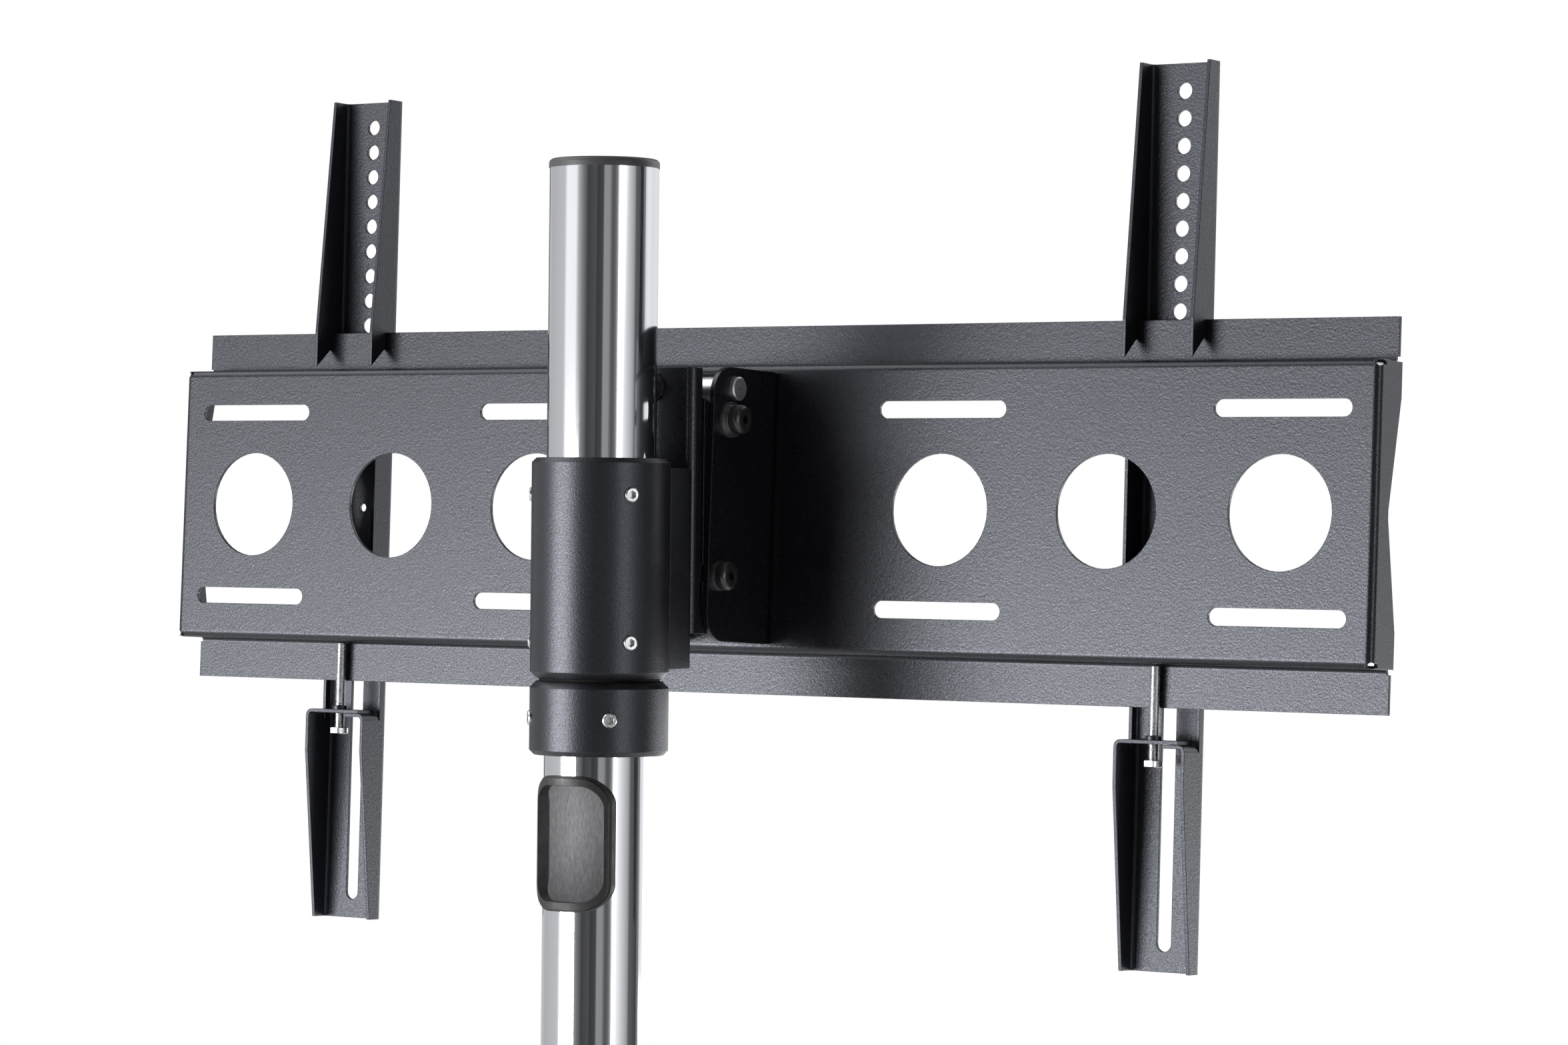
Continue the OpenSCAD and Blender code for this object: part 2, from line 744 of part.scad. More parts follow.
module tilt_bracket() {
    color(powder_black) on_plate() difference() {
        intersection() {
            translate([0, 0, -ear_h / 2]) linear_extrude(ear_h) channel_section(ear_w, ear_depth, tilt_t, tilt_bend_r);
            along_x(2 * ear_w) ear_outline();
        }
        translate([0, pivot_back, pivot_up]) rotate([0, 90, 0])
            cylinder(r = rod_d / 2 + run_gap, h = 2 * ear_w, center = true);
        for (b = [upper_bolt, lower_bolt]) translate([0, pivot_back + b[0], pivot_up + b[1]]) rotate([0, 90, 0])
            cylinder(d = tilt_bolt_d + 2 * run_gap, h = 2 * ear_w, center = true);
        for (x = [-1, 1], z = [-1, 1]) translate([x * bracket_bolt_x, -over, z * bracket_bolt_z])
            along_y(2 * over) circle(d = bracket_bolt_d + 2 * run_gap);
    }
}

// Places its child at each bolt of the tilt bracket, +Z pointing forwards
module at_bracket_bolts() {
    on_plate() for (x = [-1, 1], z = [-1, 1]) translate([x * bracket_bolt_x, 0, z * bracket_bolt_z])
        rotate([90, 0, 0]) children();
}

module bracket_bolts() {
    nut_h = bracket_bolt_d * nut_share;
    color(zinc) at_bracket_bolts() translate([0, 0, plate_t])
        dome_bolt(bracket_bolt_d, plate_t + tilt_t + nut_h + bend_in, bracket_head_h);
}

module bracket_nuts() {
    nut_h = bracket_bolt_d * nut_share;
    color(zinc) at_bracket_bolts() translate([0, 0, -tilt_t - nut_h])
        hex_nut(bracket_bolt_d, bracket_bolt_d * hex_af_share, nut_h);
}

module tilt_washers() {
    color(powder_black) at_tilt_bolts(upper_bolt) translate([0, 0, ear_w / 2])
        washer(tilt_bolt_d / 2 + run_gap, tilt_bolt_d * washer_od_share / 2, tilt_washer_t);
}

// Split spring washer lying on z = 0
module spring_washer() {
    split_w = tilt_bolt_d * washer_split_share;
    difference() {
        washer(tilt_bolt_d / 2 + run_gap, tilt_bolt_d * dome_d_share / 2 + run_gap, tilt_washer_t);
        rotate(-washer_split_turn) translate([0, -split_w / 2, -over])
            cube([tilt_bolt_d * washer_od_share, split_w, tilt_washer_t + 2 * over]);
    }
}

// The upper bolts have a flat washer under the spring washer, the lower ones have none
module spring_washers() {
    color(powder_black) {
        at_tilt_bolts(upper_bolt) translate([0, 0, ear_w / 2 + tilt_washer_t]) spring_washer();
        at_tilt_bolts(lower_bolt) translate([0, 0, ear_w / 2]) spring_washer();
    }
}

// Tilt bolt with a stack of washers of that height under its head
module tilt_bolt(stack) {
    inside = 2 * tilt_t + 2 * sheet_gap + tilt_bolt_d * nut_share + bend_in;
    translate([0, 0, ear_w / 2 + stack]) dome_bolt(tilt_bolt_d, stack + inside, tilt_head_h);
}

module tilt_bolts() {
    color(powder_black) {
        at_tilt_bolts(upper_bolt) tilt_bolt(2 * tilt_washer_t);
        at_tilt_bolts(lower_bolt) tilt_bolt(tilt_washer_t);
    }
}

module tilt_nuts() {
    nut_h = tilt_bolt_d * nut_share;
    color(zinc) for (b = [upper_bolt, lower_bolt])
        at_tilt_bolts(b) translate([0, 0, ear_w / 2 - 2 * tilt_t - 2 * sheet_gap - nut_h])
            hex_nut(tilt_bolt_d, tilt_bolt_d * hex_af_share, nut_h);
}

// Side outline of an arm: Y is depth from the screen face, Z from the lip
module arm_side() {
    widen = mid_depth - narrow_depth;
    hat_low = lip_h + plate_t + bend_in;
    polygon([
        [-over, -arm_drop], [arm_low_depth, -arm_drop], [tab_depth, -tab_drop - tab_taper_drop],
        [tab_depth, -tab_drop - arm_bend_r], [narrow_depth + tab_slit, -tab_drop - arm_bend_r],
        [narrow_depth + tab_slit, -tab_drop - arm_bend_r - arm_t],
        [narrow_depth, -tab_drop - arm_bend_r - arm_t], [narrow_depth, -2 * lip_top + hat_low],
        [mid_depth, -2 * lip_top + hat_low + widen], [mid_depth, -hat_low - widen], [lip_inner_d, -hat_low - bend_in],
        [lip_inner_d, hook_root_z], [lip_outer_d, hook_root_z], [lip_outer_d, -hook_root_drop], [hook_depth, -hook_tip_drop],
        [hook_depth, 0], [arm_top_depth, arm_rise], [-over, arm_rise]]);
}

// Folded tab: a bend in X and Z that starts on the flange at x = arm_w / 2
module tab_shape(len) {
    r = arm_bend_r;
    translate([arm_w / 2 - r, -r]) quarter_bend(r, arm_t);
    translate([arm_w / 2 - len, -arm_t]) square([len - r, arm_t]);
}

module arm_solid() {
    tab_y = narrow_depth + tab_slit;
    low_tab_z = -tab_drop - arm_t - tab_lap;
    difference() {
        intersection() {
            translate([0, 0, -arm_drop]) linear_extrude(arm_drop + arm_rise)
                channel_section(arm_w, hook_depth, arm_t, arm_bend_r);
            along_x(2 * arm_w) arm_side();
        }
        translate([-arm_w, tab_y, low_tab_z - arm_bend_r]) cube([arm_w, tab_depth, arm_w]);
        for (i = [0:hole_count - 1]) translate([0, -over, arm_rise - top_hole_inset - i * hole_pitch])
            along_y(2 * over) circle(d = hole_d);
        translate([0, -over, -lip_top]) along_y(2 * over) circle(d = pin_hole_d);
        translate([0, -over, -(slot_top_drop + arm_drop - slot_end_inset) / 2]) along_y(2 * over) rotate(90)
            slot_shape(arm_drop - slot_end_inset - slot_top_drop, hole_d);
    }
    difference() {
        translate([0, tab_y, -tab_drop]) along_y(tab_depth - tab_y) tab_shape(arm_w - tab_end_gap - arm_t);
        translate([0, lock_from_face, -tab_drop - over]) cylinder(d = lock_d + 2 * run_gap, h = 2 * over);
    }
    translate([0, tab_y, low_tab_z]) along_y(tab_depth - tab_y) mirror([1, 0]) tab_shape(low_tab_len);
}

// Threaded collar pressed into the upper tab
module weld_nut() {
    translate([0, lock_from_face, -tab_drop]) washer(lock_d / 2 + run_gap, lock_d / 2 + weld_nut_wall, weld_nut_h);
}

// Lock screw: its tip presses up against the plate's lower flange
module lock_screw() {
    tip_z = -lip_top - web_h / 2 - lock_tip_gap;
    translate([0, lock_from_face, tip_z - lock_len]) mirror([0, 0, 1])
        hex_bolt(lock_d, lock_len, lock_d * hex_head_share, lock_d * hex_af_share);
}

module left_arm() {
    color(powder_black) on_arm(left_arm_x) arm_solid();
}

module left_weld_nut() {
    color(powder_black) on_arm(left_arm_x) weld_nut();
}

module left_lock_screw() {
    color(zinc) on_arm(left_arm_x) lock_screw();
}

module right_arm() {
    color(powder_black) on_arm(-right_arm_x) arm_solid();
}

module right_weld_nut() {
    color(powder_black) on_arm(-right_arm_x) weld_nut();
}

module right_lock_screw() {
    color(zinc) on_arm(-right_arm_x) lock_screw();
}

base_plate();
base_feet();
pole_flange();
flange_bolts();
flange_washers();
pole();
pole_cap();
upper_grommet();
lower_grommet();
stop_ring();
ring_set_screws();
glide_washer();
sleeve();
sleeve_set_screws();
sleeve_bracket();
tilt_channel();
channel_bolts();
pivot_rod();
rod_screw();
rod_screw_washer();
wide_plate();
tilt_bracket();
bracket_bolts();
bracket_nuts();
tilt_bolts();
tilt_washers();
spring_washers();
tilt_nuts();
left_arm();
left_weld_nut();
left_lock_screw();
right_arm();
right_weld_nut();
right_lock_screw();
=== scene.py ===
"""The looks of a floor stand with a tilting screen mount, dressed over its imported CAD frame.

Metres, in the frame's own axes: +Z up, the screen side is -Y and the back is +Y.
"""

import json
import math

import bmesh
import bpy
from mathutils import Matrix, Vector


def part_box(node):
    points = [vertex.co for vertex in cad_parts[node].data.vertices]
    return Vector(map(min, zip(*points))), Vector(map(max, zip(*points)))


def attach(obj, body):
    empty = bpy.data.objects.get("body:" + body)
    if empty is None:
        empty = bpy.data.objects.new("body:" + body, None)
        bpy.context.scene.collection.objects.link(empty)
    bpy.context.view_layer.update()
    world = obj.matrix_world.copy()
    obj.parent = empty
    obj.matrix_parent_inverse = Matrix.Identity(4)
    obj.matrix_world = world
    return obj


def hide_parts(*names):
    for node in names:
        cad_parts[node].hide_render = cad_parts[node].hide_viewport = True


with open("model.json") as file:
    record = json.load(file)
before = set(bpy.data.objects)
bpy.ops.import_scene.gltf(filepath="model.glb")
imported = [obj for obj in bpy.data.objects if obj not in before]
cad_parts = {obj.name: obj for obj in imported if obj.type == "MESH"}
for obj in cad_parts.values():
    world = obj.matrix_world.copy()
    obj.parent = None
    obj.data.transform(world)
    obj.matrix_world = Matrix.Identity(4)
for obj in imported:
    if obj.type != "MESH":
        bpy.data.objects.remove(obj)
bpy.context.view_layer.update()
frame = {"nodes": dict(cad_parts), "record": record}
nodes = frame["nodes"]
mounts = {m["name"]: m for m in frame["record"]["mounts"]}
scene = bpy.context.scene
scene.view_settings.view_transform = "Standard"

MM = 0.001

# Colours, linear
COAT = (0.0085, 0.0088, 0.0106)
COAT_DARK = (0.0055, 0.0058, 0.0072)
# The arms' coat is the same black powder coat, painted lighter and bluer as a painted sheen for
# the light their flanges catch
ARM_COAT_PAINTED_SHEEN = (0.0125, 0.0135, 0.0185)
SATIN = (0.0070, 0.0073, 0.0088)
SHEEN_TINT = (0.86, 0.89, 1.0)
CHROME = (0.835, 0.845, 0.87)
BORE = (0.90, 0.90, 0.91)
BORE_DARK = (0.60, 0.60, 0.61)
ZINC = (0.88, 0.885, 0.90)
ZINC_DULL = (0.62, 0.63, 0.65)
ZINC_CUT = (0.75, 0.76, 0.78)
ZINC_CUT_DARK = (0.22, 0.22, 0.23)
BLACK_OXIDE = (0.018, 0.018, 0.020)
WASHER = (0.30, 0.30, 0.31)
RUBBER = (0.022, 0.022, 0.023)
RUBBER_BLOOM = (0.07, 0.07, 0.072)
CAP = (0.060, 0.061, 0.064)
NYLON = (0.010, 0.010, 0.0105)
FLOOR = (0.78, 0.78, 0.78)
WHITE = (1, 1, 1)
COOL_BANDS = (0.97, 0.977, 1.0)
COOL_SHADE = (0.97, 0.98, 1.0)

# Where most of a noise's values lie, closely and loosely taken
NOISE_CORE = (0.35, 0.65)
NOISE_WIDE = (0.3, 0.7)


# Node helpers

def opaque(colour):
    return (*colour, 1)


def add_node(tree, kind, **settings):
    """A new node of that kind, with its settings made."""
    made = tree.nodes.new(kind)
    for key, value in settings.items():
        setattr(made, key, value)
    return made


def map_range(tree, value, span, to_span=(0, 1)):
    """A value moved from one span to another, and held within it."""
    made = add_node(tree, "ShaderNodeMapRange")
    made.inputs["From Min"].default_value = span[0]
    made.inputs["From Max"].default_value = span[1]
    made.inputs["To Min"].default_value = to_span[0]
    made.inputs["To Max"].default_value = to_span[1]
    tree.links.new(value, made.inputs["Value"])
    return made.outputs["Result"]


def choose(tree, factor, otherwise, chosen):
    """One shader where the factor is 0 and another where it is 1."""
    made = add_node(tree, "ShaderNodeMixShader")
    tree.links.new(factor, made.inputs["Fac"])
    tree.links.new(otherwise, made.inputs[1])
    tree.links.new(chosen, made.inputs[2])
    return made.outputs["Shader"]


class Shader:
    """A principled material with object coordinates in metres and short calls for its nodes."""

    def __init__(self, name, base, roughness, metallic=0.0, specular=0.5):
        self.material = bpy.data.materials.new(name)
        self.material.use_nodes = True
        self.tree = self.material.node_tree
        self.principled = self.tree.nodes["Principled BSDF"]
        self.coords = self.node("ShaderNodeTexCoord").outputs["Object"]
        self.normal = None
        self.set("Base Color", opaque(base))
        self.set("Roughness", roughness)
        self.set("Metallic", metallic)
        self.set("Specular IOR Level", specular)

    def set(self, socket, value):
        self.principled.inputs[socket].default_value = value

    def drive(self, socket, out):
        self.link(out, self.principled.inputs[socket])

    def node(self, kind, **settings):
        return add_node(self.tree, kind, **settings)

    def link(self, out, into):
        self.tree.links.new(out, into)

    def remap(self, value, span, to_span=(0, 1)):
        return map_range(self.tree, value, span, to_span)

    def combine(self, operation, vector, other):
        """A vector worked on with a fixed one."""
        made = self.node("ShaderNodeVectorMath", operation=operation)
        self.link(vector, made.inputs[0])
        made.inputs[1].default_value = other
        return made.outputs["Vector"]

    def length(self, vector):
        made = self.node("ShaderNodeVectorMath", operation="LENGTH")
        self.link(vector, made.inputs[0])
        return made.outputs["Value"]

    def noise(self, size, detail, rough=0.5, squeeze=(1, 1, 1)):
        """Noise with grains about size metres across, longer along an axis squeezed below 1."""
        made = self.node("ShaderNodeTexNoise")
        made.inputs["Scale"].default_value = 1 / size
        made.inputs["Detail"].default_value = detail
        made.inputs["Roughness"].default_value = rough
        self.link(self.combine("MULTIPLY", self.coords, squeeze), made.inputs["Vector"])
        return made.outputs["Fac"]

    def mix(self, factor, first, second):
        """A blend from the first to the second colour, each fixed or a node's output."""
        made = self.node("ShaderNodeMix", data_type="RGBA")
        self.link(factor, made.inputs["Factor"])
        for socket, colour in (("A", first), ("B", second)):
            if isinstance(colour, tuple):
                made.inputs[socket].default_value = opaque(colour)
            else:
                self.link(colour, made.inputs[socket])
        return made.outputs["Result"]

    def shape(self, normal):
        self.normal = normal
        self.drive("Normal", normal)

    def round_edges(self, radius):
        """Shades the edges as if they were rounded to that radius."""
        bevel = self.node("ShaderNodeBevel", samples=6)
        bevel.inputs["Radius"].default_value = radius
        self.shape(bevel.outputs["Normal"])

    def bump(self, height, strength, depth):
        """Lays a relief over the shape so far."""
        made = self.node("ShaderNodeBump")
        made.inputs["Strength"].default_value = strength
        made.inputs["Distance"].default_value = depth
        self.link(height, made.inputs["Height"])
        if self.normal:
            self.link(self.normal, made.inputs["Normal"])
        self.shape(made.outputs["Normal"])


# Finishes

def powder_coat(name, base, dark, roughness, grain=1.3 * MM, relief=0.6, specular=0.62):
    """Fine-textured powder coat: a pebbled skin with a faint cloudiness."""
    speck_share = 0.4
    sheen_spread = 0.08
    s = Shader(name, base, roughness, specular=specular)
    s.set("Specular Tint", opaque(SHEEN_TINT))
    cloud = s.noise(size=90 * MM, detail=3)
    s.drive("Base Color", s.mix(s.remap(cloud, NOISE_CORE), base, dark))
    pebble = s.noise(size=grain, detail=2, rough=0.6)
    speck = s.noise(size=grain * speck_share, detail=1)
    sheen = (roughness - sheen_spread, roughness + sheen_spread)
    s.drive("Roughness", s.remap(speck, NOISE_CORE, sheen))
    s.round_edges(0.6 * MM)
    s.bump(pebble, strength=relief, depth=0.17 * MM)
    s.bump(speck, strength=0.5, depth=0.06 * MM)
    return s.material


def chrome(bare_radius):
    """Polished chrome, and the tube's dull bare steel within that radius of its axis."""
    plating_edge = 0.6 * MM
    bare_metallic = 0.35
    bare_roughness = 0.5
    polish = (0.045, 0.085)
    s = Shader("polished_chrome", CHROME, roughness=0.05, metallic=1.0)
    radius = s.length(s.combine("MULTIPLY", s.coords, (1, 1, 0)))
    plated = s.remap(radius, (bare_radius, bare_radius + plating_edge))
    scale = s.noise(size=1.2 * MM, detail=4, rough=0.7, squeeze=(1, 1, 0.3))
    bare = s.mix(s.remap(scale, NOISE_CORE), BORE, BORE_DARK)
    s.drive("Base Color", s.mix(plated, bare, CHROME))
    s.drive("Metallic", s.remap(plated, (0, 1), (bare_metallic, 1)))
    smear = s.noise(size=50 * MM, detail=3, squeeze=(1, 1, 0.25))
    rough = s.node("ShaderNodeMix", data_type="FLOAT")
    rough.inputs["A"].default_value = bare_roughness
    s.link(s.remap(smear, (0.35, 0.75), polish), rough.inputs["B"])
    s.link(plated, rough.inputs["Factor"])
    s.drive("Roughness", rough.outputs["Result"])
    draw_lines = s.noise(size=1.6 * MM, detail=2, squeeze=(1, 1, 0.012))
    s.bump(draw_lines, strength=0.06, depth=0.03 * MM)
    return s.material


def zinc():
    """Bright zinc plate, slightly mottled."""
    s = Shader("zinc_plate", ZINC, roughness=0.28, metallic=1.0)
    mottle = s.noise(size=4 * MM, detail=4)
    s.drive("Base Color", s.mix(s.remap(mottle, NOISE_WIDE), ZINC, ZINC_DULL))
    s.drive("Roughness", s.remap(s.noise(size=1.5 * MM, detail=2), NOISE_WIDE, (0.2, 0.38)))
    s.round_edges(0.3 * MM)
    s.bump(s.noise(size=0.6 * MM, detail=2), strength=0.12, depth=0.05 * MM)
    return s.material


def turned_zinc(axis_at, shaft_radius):
    """Bright zinc on a shaft along X through that point, with duller lathe rings on its ends."""
    rings_per_mm = 2.5
    rim = (0.84 * shaft_radius, 0.9 * shaft_radius)
    s = Shader("turned_zinc", ZINC, roughness=0.38, metallic=0.9)
    offset = s.combine("SUBTRACT", s.coords, axis_at)
    radius = s.length(s.combine("MULTIPLY", offset, (0, 1, 1)))
    rings = s.node("ShaderNodeTexNoise", noise_dimensions="1D")
    rings.inputs["Scale"].default_value = 1
    rings.inputs["Detail"].default_value = 1
    s.link(s.remap(radius, (0, MM), (0, rings_per_mm)), rings.inputs["W"])
    ring = rings.outputs["Fac"]
    end = s.mix(s.remap(ring, (0.42, 0.58)), ZINC_CUT, ZINC_CUT_DARK)
    s.drive("Base Color", s.mix(s.remap(radius, rim), end, ZINC))
    s.round_edges(0.3 * MM)
    s.bump(ring, strength=0.7, depth=0.1 * MM)
    return s.material


def black_oxide(name, base, metallic=0.0):
    """Blackened steel, slightly glossy."""
    s = Shader(name, base, roughness=0.3, metallic=metallic, specular=1.0)
    s.drive("Roughness", s.remap(s.noise(size=3 * MM, detail=3), NOISE_WIDE, (0.24, 0.4)))
    s.round_edges(0.3 * MM)
    s.bump(s.noise(size=0.5 * MM, detail=2), strength=0.15, depth=0.05 * MM)
    return s.material


def rubber():
    """Moulded rubber with a faint pale bloom."""
    s = Shader("moulded_rubber", RUBBER, roughness=0.45)
    s.drive("Roughness", s.remap(s.noise(size=6 * MM, detail=4), NOISE_WIDE, (0.36, 0.55)))
    bloom = s.remap(s.noise(size=20 * MM, detail=4), (0.45, 0.8), (0, 0.35))
    s.drive("Base Color", s.mix(bloom, RUBBER, RUBBER_BLOOM))
    s.round_edges(0.8 * MM)
    s.bump(s.noise(size=0.9 * MM, detail=3), strength=0.3, depth=0.1 * MM)
    return s.material


def plastic(name, base, roughness, specular=0.5):
    """Moulded plastic with a fine matt grain."""
    sheen = (roughness - 0.05, roughness + 0.08)
    s = Shader(name, base, roughness, specular=specular)
    s.drive("Roughness", s.remap(s.noise(size=10 * MM, detail=3), NOISE_WIDE, sheen))
    s.round_edges(0.5 * MM)
    s.bump(s.noise(size=0.7 * MM, detail=2), strength=0.18, depth=0.08 * MM)
    return s.material


# How far under the pole's outer face the plating can reach: less than the tube's wall
PLATED_DEPTH = 1.8 * MM

pole_low, pole_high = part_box("pole")
rod_low, rod_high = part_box("pivot_rod")
pole_radius = (pole_high.x - pole_low.x) / 2
rod_radius = (rod_high.z - rod_low.z) / 2
rod_axis = (0, (rod_low.y + rod_high.y) / 2, (rod_low.z + rod_high.z) / 2)

MATERIALS = {
    "powder_black": powder_coat("powder_coat", COAT, COAT_DARK, roughness=0.31),
    "satin_black": powder_coat(
        "satin_coat", SATIN, COAT_DARK, roughness=0.37, grain=1.1 * MM, specular=0.8
    ),
    # The arms' coat: base painted lighter and bluer than the powder coat, a painted sheen
    "arm_coat_painted_sheen": powder_coat("arm_coat_painted_sheen", ARM_COAT_PAINTED_SHEEN, COAT, roughness=0.39, relief=0.95),
    "chrome": chrome(pole_radius - PLATED_DEPTH),
    "zinc": zinc(),
    "rod": turned_zinc(rod_axis, rod_radius),
    "black_screws": black_oxide("black_oxide", BLACK_OXIDE),
    "washers": black_oxide("washer_oxide", WASHER, metallic=0.9),
    "rubber": rubber(),
    "cap_plastic": plastic("cap_plastic", CAP, roughness=0.42),
    "nylon": plastic("nylon", NYLON, roughness=0.7, specular=0.15),
}

# Pieces whose finish is a variant of their slot's
VARIANTS = {
    "pivot_rod": "rod",
    # The arms take the coat painted lighter and bluer, a painted sheen
    "left_arm": "arm_coat_painted_sheen",
    "right_arm": "arm_coat_painted_sheen",
    "tilt_washers": "washers",
    "spring_washers": "washers",
}


def dress(obj, finish):
    obj.data.materials.clear()
    obj.data.materials.append(MATERIALS[finish])


for part in frame["record"]["subparts"]:
    dress(nodes[part["node"]], VARIANTS.get(part["node"], part["material_slot"]))


# Pieces made here

def mesh_from(name, points, faces):
    mesh = bpy.data.meshes.new(name)
    mesh.from_pydata([tuple(p) for p in points], [], faces)
    mesh.validate()
    fixed = bmesh.new()
    fixed.from_mesh(mesh)
    bmesh.ops.recalc_face_normals(fixed, faces=fixed.faces)
    fixed.to_mesh(mesh)
    fixed.free()
    return mesh


def new_piece(name, mesh, slot, body, smooth_angle):
    """Links a mesh as a piece with a finish, riding on a body."""
    obj = bpy.data.objects.new(name, mesh)
    scene.collection.objects.link(obj)
    for face in mesh.polygons:
        face.use_smooth = True
    mesh.set_sharp_from_angle(angle=math.radians(smooth_angle))
    dress(obj, slot)
    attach(obj, body)
    return obj


# The lock screws: thread, tip, head from its foot up, neck, and the room left at both ends
SCREW_PITCH = 1.0 * MM
SCREW_CREST = 3.05 * MM
SCREW_ROOT = 2.55 * MM
SCREW_SIDES = 28
SCREW_STEPS_PER_TURN = 8
THREAD_STEEPNESS = 2.4
THREAD_FROM = 0.4 * MM
THREAD_END = 1.2 * MM
TIP_LENGTH = 0.5 * MM
TIP_SHARE = 0.8
HEAD_FLATS = 10.2 * MM
HEAD_HEIGHT = 3.9 * MM
HEAD_CORNER_SHARE = 1.13
HEAD_FOOT_ROUND = 0.5 * MM
HEAD_FOOT_SHARE = 0.86
HEAD_TOP_ROUND = 0.3 * MM
HEAD_TOP_SHARE = 0.9
NECK_RISE = 0.1 * MM
NECK_SHARE = 1.06
SCREW_INSET = 0.3 * MM
SCREW_SHORTER = 0.4 * MM
SCREW_SMOOTH_ANGLE = 28


def hexagon(share):
    """The radius at each angle of a hexagon with clipped corners, at a share of full width."""
    def radius(angle):
        from_flat = (angle % (math.pi / 3)) - math.pi / 6
        flat = HEAD_FLATS / 2
        return min(flat / math.cos(from_flat), flat * HEAD_CORNER_SHARE) * share
    return radius


def circle(size):
    """The radius at each angle of a circle."""
    return lambda angle: size


def thread(z):
    """The radius at each angle of the screw's thread at that height."""
    def radius(angle):
        phase = (z / SCREW_PITCH - angle / (2 * math.pi)) % 1.0
        rise = min(1.0, THREAD_STEEPNESS * abs(phase - 0.5))
        return SCREW_ROOT + (SCREW_CREST - SCREW_ROOT) * rise
    return radius


def screw_rings(length):
    """Heights and outlines of the screw from the foot of its head to its tip."""
    rings = [
        (0, hexagon(0.0)),
        (0, hexagon(HEAD_FOOT_SHARE)),
        (HEAD_FOOT_ROUND, hexagon(1.0)),
        (HEAD_HEIGHT - HEAD_TOP_ROUND, hexagon(1.0)),
        (HEAD_HEIGHT, hexagon(HEAD_TOP_SHARE)),
        (HEAD_HEIGHT + NECK_RISE, circle(SCREW_CREST * NECK_SHARE)),
    ]
    turns = (length - HEAD_HEIGHT - THREAD_END) / SCREW_PITCH
    for k in range(int(turns * SCREW_STEPS_PER_TURN)):
        z = HEAD_HEIGHT + THREAD_FROM + k * SCREW_PITCH / SCREW_STEPS_PER_TURN
        rings.append((z, thread(z)))
    rings += [
        (length - TIP_LENGTH, circle(SCREW_ROOT)),
        (length, circle(SCREW_ROOT * TIP_SHARE)),
        (length, circle(0.0)),
    ]
    return rings


def lock_screw(node, body, up):
    """A hexagon-headed M6 screw with a real thread, in place of the CAD node's plain one."""
    low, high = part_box(node)
    axis = Vector(up).normalized()
    foot = Vector(((low.x + high.x) / 2, (low.y + high.y) / 2, low.z + SCREW_INSET))
    length = (high.z - low.z) / axis.z - SCREW_SHORTER
    place = Matrix.Translation(foot) @ axis.to_track_quat("Z", "Y").to_matrix().to_4x4()
    points, faces = [], []
    for z, radius_at in screw_rings(length):
        start = len(points)
        for i in range(SCREW_SIDES):
            angle = 2 * math.pi * i / SCREW_SIDES
            r = radius_at(angle)
            points.append(place @ Vector((r * math.cos(angle), r * math.sin(angle), z)))
        if start:
            below = start - SCREW_SIDES
            for i in range(SCREW_SIDES):
                j = (i + 1) % SCREW_SIDES
                faces.append((below + i, below + j, start + j, start + i))
    name = node.replace("_lock_screw", "_threaded_screw")
    piece = new_piece(name, mesh_from(node, points, faces), "zinc", body, SCREW_SMOOTH_ANGLE)
    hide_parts(node)


# The lock screws run along the arms, at right angles to the axis of an arm's holes
hole_axis = mounts["left_arm_top_hole"]["axis"]
arm_up = (0, hole_axis[2], -hole_axis[1])
for side in ("left", "right"):
    lock_screw(f"{side}_lock_screw", f"{side}_screw", arm_up)


# Camera: the photograph's own, fitted to the plate's holes and slots

CAMERA_AT = (-1.62649, 2.21149, 1.6082)
CAMERA_FORWARD = (0.562746, -0.826630, -0.000187)
CAMERA_UP = (0.008542, 0.005589, 0.999948)
# In millimetres
CAMERA_LENS = 115.33
CAMERA_SENSOR = 36
# In metres
CAMERA_REACH = 50

camera_data = bpy.data.cameras.new("camera")
camera_data.lens = CAMERA_LENS
camera_data.sensor_width = CAMERA_SENSOR
camera_data.clip_end = CAMERA_REACH
camera = bpy.data.objects.new("camera", camera_data)
scene.collection.objects.link(camera)
back = -Vector(CAMERA_FORWARD).normalized()
right = Vector(CAMERA_UP).cross(back).normalized()
turned = Matrix((right, back.cross(right), back)).transposed().to_4x4()
camera.matrix_world = Matrix.Translation(CAMERA_AT) @ turned
scene.camera = camera


# Floor

FLOOR_SIZE = 14
FLOOR_FADE = (0.9, 5.0)


def floor_paint():
    """Pale paint that fades into the white surroundings for the camera, far from the stand."""
    s = Shader("floor_paint", FLOOR, roughness=0.8, specular=0.2)
    seen = s.node("ShaderNodeMath", operation="MULTIPLY")
    s.link(s.remap(s.length(s.coords), FLOOR_FADE), seen.inputs[0])
    s.link(s.node("ShaderNodeLightPath").outputs["Is Camera Ray"], seen.inputs[1])
    paint = s.principled.outputs["BSDF"]
    white = s.node("ShaderNodeEmission").outputs["Emission"]
    faded = choose(s.tree, seen.outputs["Value"], paint, white)
    s.link(faded, s.tree.nodes["Material Output"].inputs["Surface"])
    return s.material


half = FLOOR_SIZE / 2
floor_corners = [(-half, -half, 0), (half, -half, 0), (half, half, 0), (-half, half, 0)]
floor_mesh = bpy.data.meshes.new("floor")
floor_mesh.from_pydata(floor_corners, [], [(0, 1, 2, 3)])
floor_mesh.materials.append(floor_paint())
floor = bpy.data.objects.new("floor", floor_mesh)
scene.collection.objects.link(floor)


# Lamps: azimuth from +Y towards +X, elevation, distance, width, height, radiance, and what
# they light: all, only matt surfaces, or only glints in glossy ones

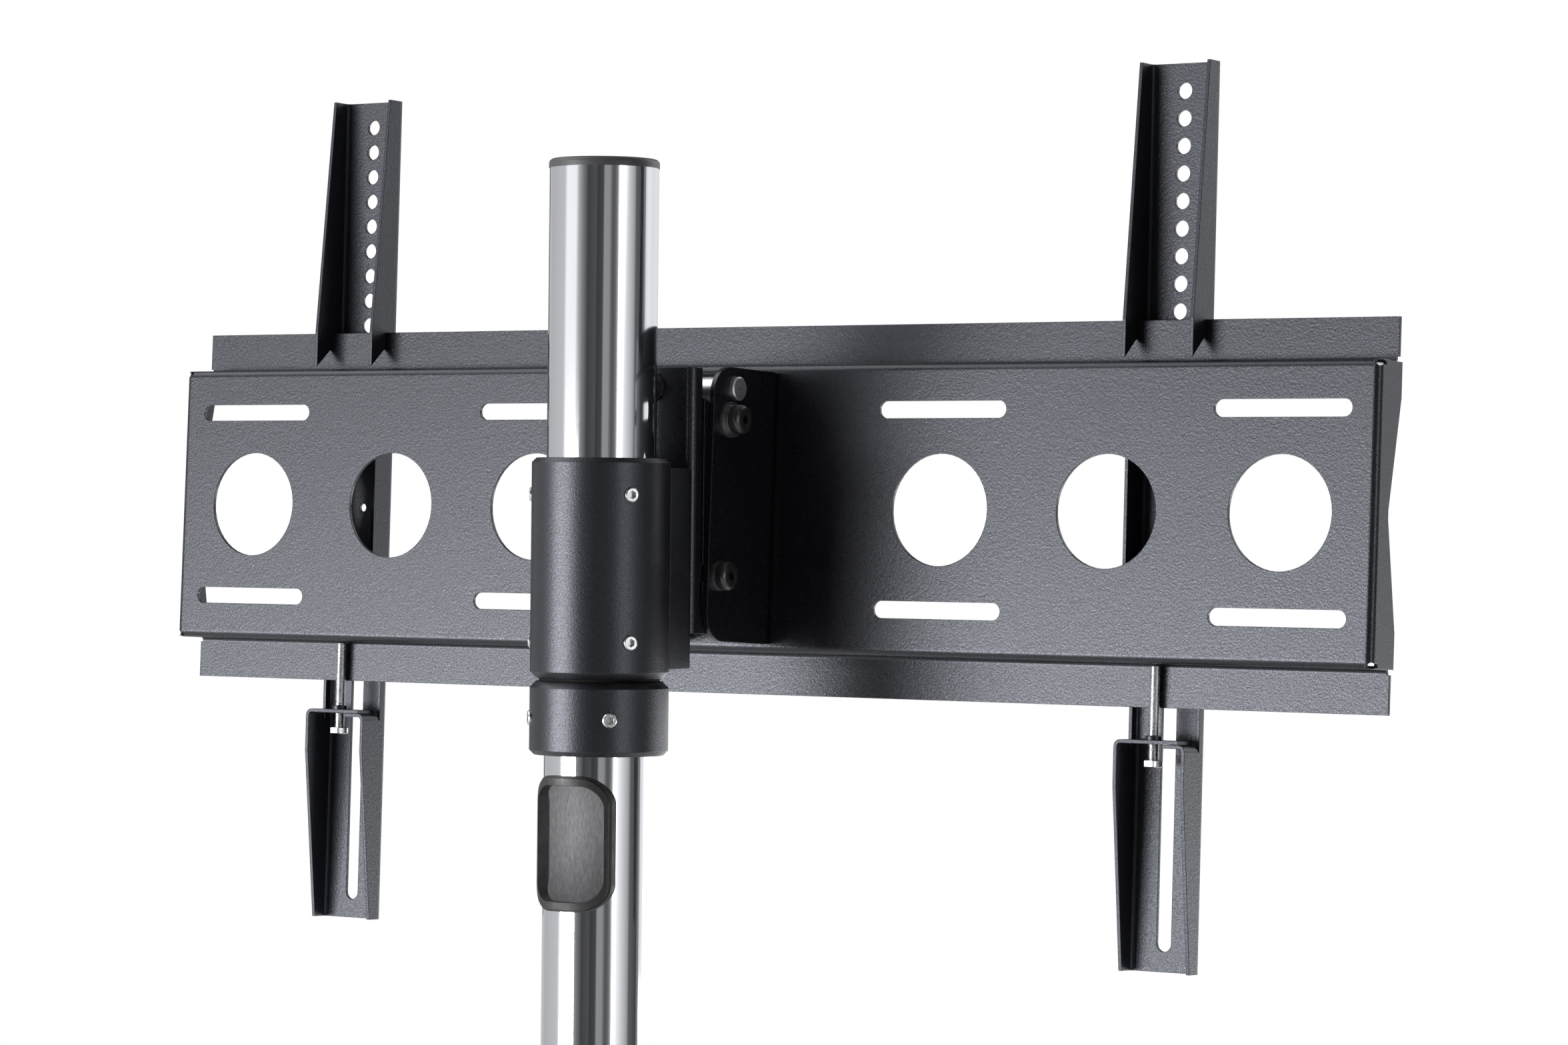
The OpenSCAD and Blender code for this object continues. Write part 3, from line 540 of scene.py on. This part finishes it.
LAMPS_AIM = Vector((0, -0.1, 1.6))
LAMPS = {
    "key": (29.5, -5.2, 7.0, 4.2, 1.4, 18.0, "all"),
    "side": (-75, 0, 6.0, 1.6, 2.4, 2.2, "glints"),
    "backdrop": (-178, -17, 3.6, 4.4, 1.6, 1.2, "glints"),
    "flank": (-150, -19, 4.0, 2.2, 1.4, 3.4, "glints"),
    "top": (64, 46, 3.2, 3.2, 2.2, 2.2, "glints"),
    "front": (200, 25, 4.0, 2.4, 2.4, 1.5, "all"),
    "overhead": (0, 89, 8.0, 8.0, 8.0, 2.2, "matt"),
    "fill_back": (45, 6, 6.0, 3.0, 3.0, 7.0, "matt"),
    "fill_front": (200, 15, 6.0, 3.0, 3.0, 7.0, "matt"),
}


def softbox(name, azimuth, elevation, distance, width, height, radiance, lights):
    """A flat lamp that faces the mount, with that radiance all over its face."""
    lamp = bpy.data.lights.new(name, "AREA")
    lamp.shape = "RECTANGLE"
    lamp.size = width
    lamp.size_y = height
    lamp.energy = radiance * math.pi * width * height
    obj = bpy.data.objects.new(name, lamp)
    scene.collection.objects.link(obj)
    a = math.radians(azimuth)
    e = math.radians(elevation)
    away = Vector((math.sin(a) * math.cos(e), math.cos(a) * math.cos(e), math.sin(e)))
    obj.location = LAMPS_AIM + away * distance
    obj.rotation_mode = "QUATERNION"
    obj.rotation_quaternion = away.to_track_quat("Z", "Y")
    obj.visible_diffuse = lights != "glints"
    obj.visible_glossy = lights != "matt"


for name, setting in LAMPS.items():
    softbox(name, *setting)


# Surroundings. Polished metal mirrors bands by compass direction from +Y towards +X: pale
# walls, two bright windows of light and the dark gaps beside them.

BANDS = [
    (-180, 0.88), (-165, 0.84), (-145, 0.95), (-137, 0.80), (-134, 0.24), (-130, 0.20),
    (-127, 0.06), (-117, 0.10), (-108, 0.13), (-104, 0.38), (-92, 0.66), (-84, 1.15),
    (-71, 1.10), (-64, 0.20), (-57, 0.09), (-52, 0.16), (-49, 0.30), (-38, 0.32),
    (-35, 0.07), (-24, 0.05), (-20, 0.09), (-3, 0.06), (8, 0.22), (18, 0.45), (24, 1.0),
    (47, 1.05), (54, 0.6), (100, 0.5), (180, 0.88),
]
BAND_PEAK = max(value for _, value in BANDS)
BAND_HEIGHT = (0.1, 0.36)
BAND_LOW_SHARE = 0.22
SHADE = 0.045


def background(tree, colour=WHITE, strength=1.0):
    made = add_node(tree, "ShaderNodeBackground")
    made.inputs["Color"].default_value = opaque(colour)
    made.inputs["Strength"].default_value = strength
    return made


def banded_background(tree):
    """The bands round the horizon, dimmed away from it."""
    link = tree.links.new
    axes = add_node(tree, "ShaderNodeSeparateXYZ")
    link(add_node(tree, "ShaderNodeTexCoord").outputs["Generated"], axes.inputs["Vector"])
    compass = add_node(tree, "ShaderNodeMath", operation="ARCTAN2")
    link(axes.outputs["X"], compass.inputs[0])
    link(axes.outputs["Y"], compass.inputs[1])
    height = add_node(tree, "ShaderNodeMath", operation="ABSOLUTE")
    link(axes.outputs["Z"], height.inputs[0])
    ramp = add_node(tree, "ShaderNodeValToRGB")
    stops = ramp.color_ramp.elements
    middle = 0.5
    while len(stops) < len(BANDS):
        stops.new(middle)
    for stop, (angle, value) in zip(stops, BANDS):
        stop.position = (angle + 180) / 360
        stop.color = opaque([value / BAND_PEAK * part for part in COOL_BANDS])
    link(map_range(tree, compass.outputs["Value"], (-math.pi, math.pi)), ramp.inputs["Fac"])
    made = background(tree)
    dimmed = (BAND_PEAK, BAND_PEAK * BAND_LOW_SHARE)
    link(ramp.outputs["Color"], made.inputs["Color"])
    link(map_range(tree, height.outputs["Value"], BAND_HEIGHT, dimmed), made.inputs["Strength"])
    return made


def studio():
    """White for the camera, the bands for glossy surfaces and a dim shade for matt ones."""
    world = bpy.data.worlds.new("studio")
    world.use_nodes = True
    tree = world.node_tree
    tree.nodes.clear()
    ray = add_node(tree, "ShaderNodeLightPath").outputs
    shade = background(tree, COOL_SHADE, SHADE).outputs["Background"]
    bands = banded_background(tree).outputs["Background"]
    white = background(tree).outputs["Background"]
    lit = choose(tree, ray["Is Glossy Ray"], shade, bands)
    seen = choose(tree, ray["Is Camera Ray"], lit, white)
    tree.links.new(seen, add_node(tree, "ShaderNodeOutputWorld").inputs["Surface"])
    return world


scene.world = studio()
